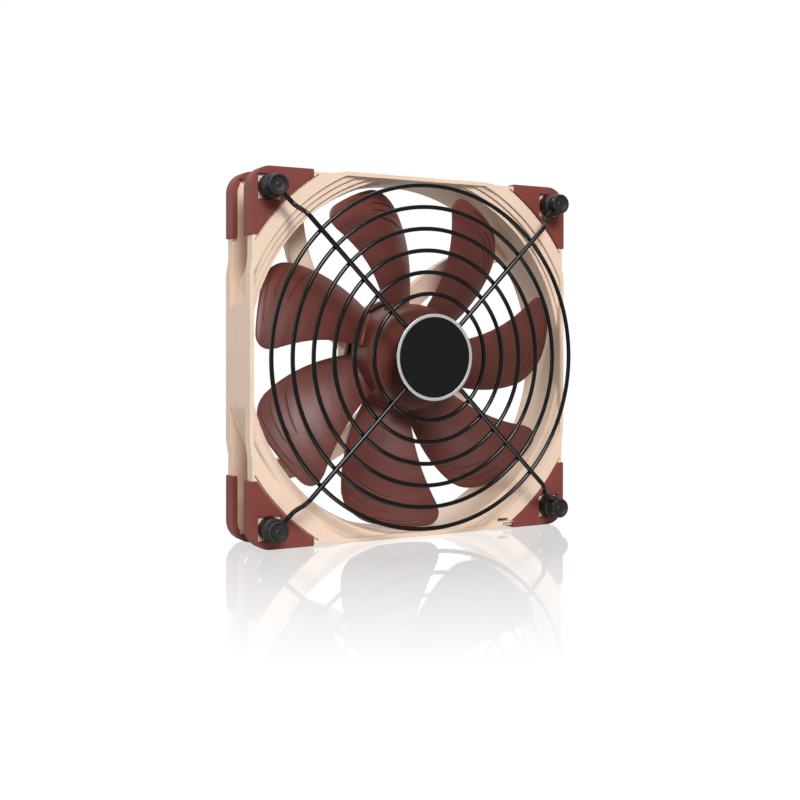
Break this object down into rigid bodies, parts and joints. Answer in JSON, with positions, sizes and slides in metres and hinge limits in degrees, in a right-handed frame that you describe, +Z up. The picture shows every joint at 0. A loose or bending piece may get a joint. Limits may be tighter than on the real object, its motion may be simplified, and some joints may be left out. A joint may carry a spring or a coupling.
{
  "type": "axial case fan",
  "caption": "Square axial case fan with rubber corner pads, a curved-blade impeller and a round wire guard on rubber mounts.",
  "frame": {"origin": "centre of the rear hole pattern, on the rear mounting plane that the rear corner pads rest on", "axes": "+Y along the fan's axis, out of the exhaust side; +Z up as the fan stands; +X to the right seen from the intake"},
  "size_m": [0.14, 0.0377, 0.14],
  "materials": {
    "housing_plastic": "fine satin, warm beige",
    "pad_rubber": "matt reddish brown silicone",
    "black_rubber": "matt black",
    "blade_plastic": "satin reddish brown, fine grain",
    "guard_wire": "gloss black coating",
    "badge_black": "black, slightly textured",
    "badge_silver": "satin",
    "yoke_steel": "zinc plated",
    "shaft_steel": "ground",
    "core_steel": "stacked laminations",
    "magnet": "sintered ferrite, dull",
    "brass": "turned",
    "bearing_bronze": "oiled sintered metal",
    "thrust_polymer": "white",
    "cap_plastic": "beige",
    "label": "plain foil sticker",
    "insulator": "off white",
    "copper": "enamelled copper wire",
    "board": "green solder mask",
    "chip": "black moulded",
    "ceramic": "tan ceramic",
    "solder": "bright"
  },
  "bodies": {
    "housing": {"frame": "housing_plastic", "front_pad_1": "pad_rubber", "front_pad_2": "pad_rubber", "front_pad_3": "pad_rubber", "front_pad_4": "pad_rubber", "rear_pad_1": "pad_rubber", "rear_pad_2": "pad_rubber", "rear_pad_3": "pad_rubber", "rear_pad_4": "pad_rubber", "guard_mount_1": "black_rubber", "guard_mount_2": "black_rubber", "guard_mount_3": "black_rubber", "guard_mount_4": "black_rubber", "wire_guard": "guard_wire", "badge_plate": "badge_black", "badge_rim": "badge_silver", "badge_face": "badge_black", "bearing_shell": "brass", "bearing_sleeve": "bearing_bronze", "oil_seal": "black_rubber", "thrust_pad": "thrust_polymer", "stabiliser_magnet": "magnet", "end_cap": "cap_plastic", "base_label": "label", "stator_core": "core_steel", "insulator_front": "insulator", "insulator_rear": "insulator", "coil_1": "copper", "coil_2": "copper", "coil_3": "copper", "coil_4": "copper", "coil_pins": "shaft_steel", "circuit_board": "board", "driver_chip": "chip", "hall_sensor": "chip", "capacitors": "ceramic", "resistors": "chip", "solder_joints": "solder"},
    "rotor": {"impeller": "blade_plastic", "rotor_yoke": "yoke_steel", "rotor_magnet": "magnet", "shaft": "shaft_steel", "shaft_bushing": "brass", "retaining_clip": "shaft_steel"}
  },
  "joints": [
    {"name": "impeller_spin", "type": "hinge", "parent": "housing", "child": "rotor", "pos_m": [0, -0.0125, 0], "axis": [0, -1, 0], "continuous": true}
  ]
}
